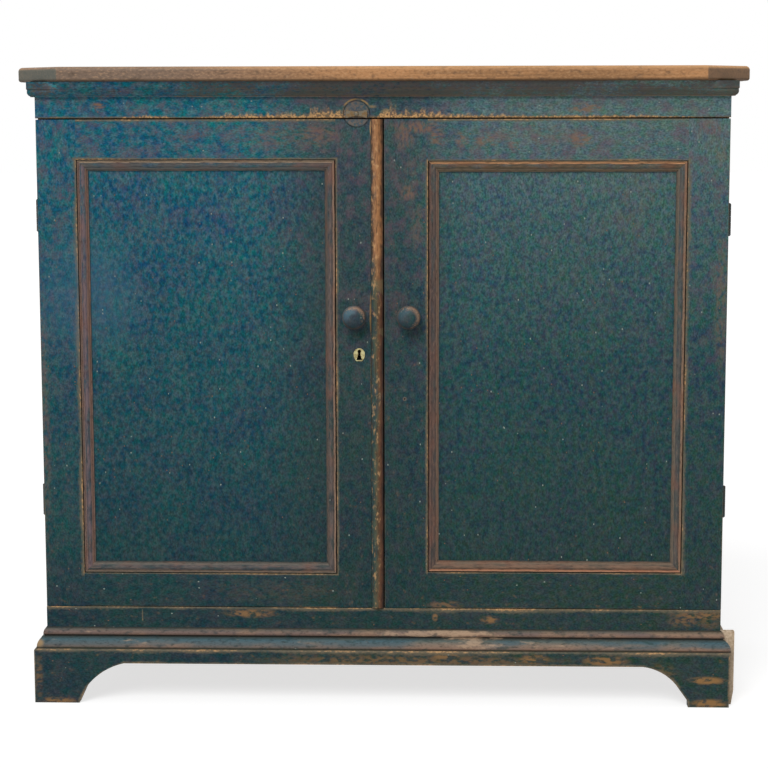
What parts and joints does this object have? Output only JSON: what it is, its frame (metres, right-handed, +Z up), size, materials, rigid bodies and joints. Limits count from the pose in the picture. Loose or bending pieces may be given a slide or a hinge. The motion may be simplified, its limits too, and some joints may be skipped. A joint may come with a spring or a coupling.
{
  "type": "cupboard",
  "caption": "Low two-door painted wooden cupboard with flat panelled doors, a bare wood top with canted corners, moulded base and bracket feet.",
  "frame": {"origin": "on the floor, under the middle of the bounding box", "axes": "+X along the width to the viewer's right, +Y towards the back, +Z up; the doors face -Y"},
  "size_m": [1.2316, 0.491, 1.0865],
  "materials": {
    "painted_pine": "worn matt blue-green paint",
    "worn_moulding": "blue-green paint worn through to brown",
    "worn_bead": "bare, handled wood",
    "scrubbed_top": "bare, waxed wood",
    "bare_board": "bare, pale wood",
    "raw_pine": "unpainted, aged pine",
    "iron": "dark, lightly rusted",
    "brass": "dull, old brass"
  },
  "bodies": {
    "case": {"back_board_1": "raw_pine", "back_board_2": "raw_pine", "back_board_3": "raw_pine", "back_board_4": "raw_pine", "base_moulding_front": "painted_pine", "base_moulding_left": "painted_pine", "bottom_board": "raw_pine", "bottom_rail": "painted_pine", "foot_blocks": "raw_pine", "frieze_rail": "painted_pine", "hinge_case_leaves": "iron", "hinge_case_screws": "iron", "hinge_pins": "iron", "plinth_front": "painted_pine", "plinth_side_left": "painted_pine", "plinth_side_right": "bare_board", "rear_foot_brackets": "raw_pine", "rear_top_rail": "raw_pine", "shelf_cleats": "raw_pine", "shelf_lower": "raw_pine", "shelf_upper": "raw_pine", "side_board_left": "painted_pine", "side_board_right": "painted_pine", "top_board": "scrubbed_top", "top_moulding_front": "painted_pine", "top_moulding_left": "painted_pine", "top_moulding_right": "painted_pine", "turn_button_screw": "iron"},
    "left_door": {"escutcheon": "brass", "left_door_bead": "worn_bead", "left_door_bottom_rail": "painted_pine", "left_door_hinge_leaves": "iron", "left_door_hinge_stile": "painted_pine", "left_door_knob": "painted_pine", "left_door_meeting_stile": "painted_pine", "left_door_panel": "painted_pine", "left_door_panel_moulding_bottom": "worn_moulding", "left_door_panel_moulding_left": "worn_moulding", "left_door_panel_moulding_right": "worn_moulding", "left_door_panel_moulding_top": "worn_moulding", "left_door_screws": "iron", "left_door_top_rail": "painted_pine", "lock_case": "iron", "lock_spring": "iron"},
    "right_door": {"door_bolt_plate": "iron", "right_door_bottom_rail": "painted_pine", "right_door_hinge_leaves": "iron", "right_door_hinge_stile": "painted_pine", "right_door_knob": "painted_pine", "right_door_meeting_stile": "painted_pine", "right_door_panel": "painted_pine", "right_door_panel_moulding_bottom": "worn_moulding", "right_door_panel_moulding_left": "worn_moulding", "right_door_panel_moulding_right": "worn_moulding", "right_door_panel_moulding_top": "worn_moulding", "right_door_screws": "iron", "right_door_top_rail": "painted_pine"},
    "lock_bolt": {"lock_bolt": "iron"},
    "door_bolt": {"door_bolt": "iron"},
    "turn_button": {"turn_button": "iron"}
  },
  "joints": [
    {"name": "left_door_hinge", "type": "hinge", "parent": "case", "child": "left_door", "pos_m": [-0.58325, -0.1873, 0.594], "axis": [0, 0, -1], "range_deg": [0, 180]},
    {"name": "right_door_hinge", "type": "hinge", "parent": "case", "child": "right_door", "pos_m": [0.58325, -0.1873, 0.594], "axis": [0, 0, 1], "range_deg": [0, 180]},
    {"name": "turn_button_pivot", "type": "hinge", "parent": "case", "child": "turn_button", "pos_m": [-0.041, -0.2095, 1.0083], "axis": [0, 1, 0], "continuous": true},
    {"name": "lock_bolt_slide", "type": "slide", "parent": "left_door", "child": "lock_bolt", "axis": [1, 0, 0], "range_m": [0, 0.01]},
    {"name": "door_bolt_slide", "type": "slide", "parent": "right_door", "child": "door_bolt", "axis": [0, 0, 1], "range_m": [0, 0.018]}
  ]
}
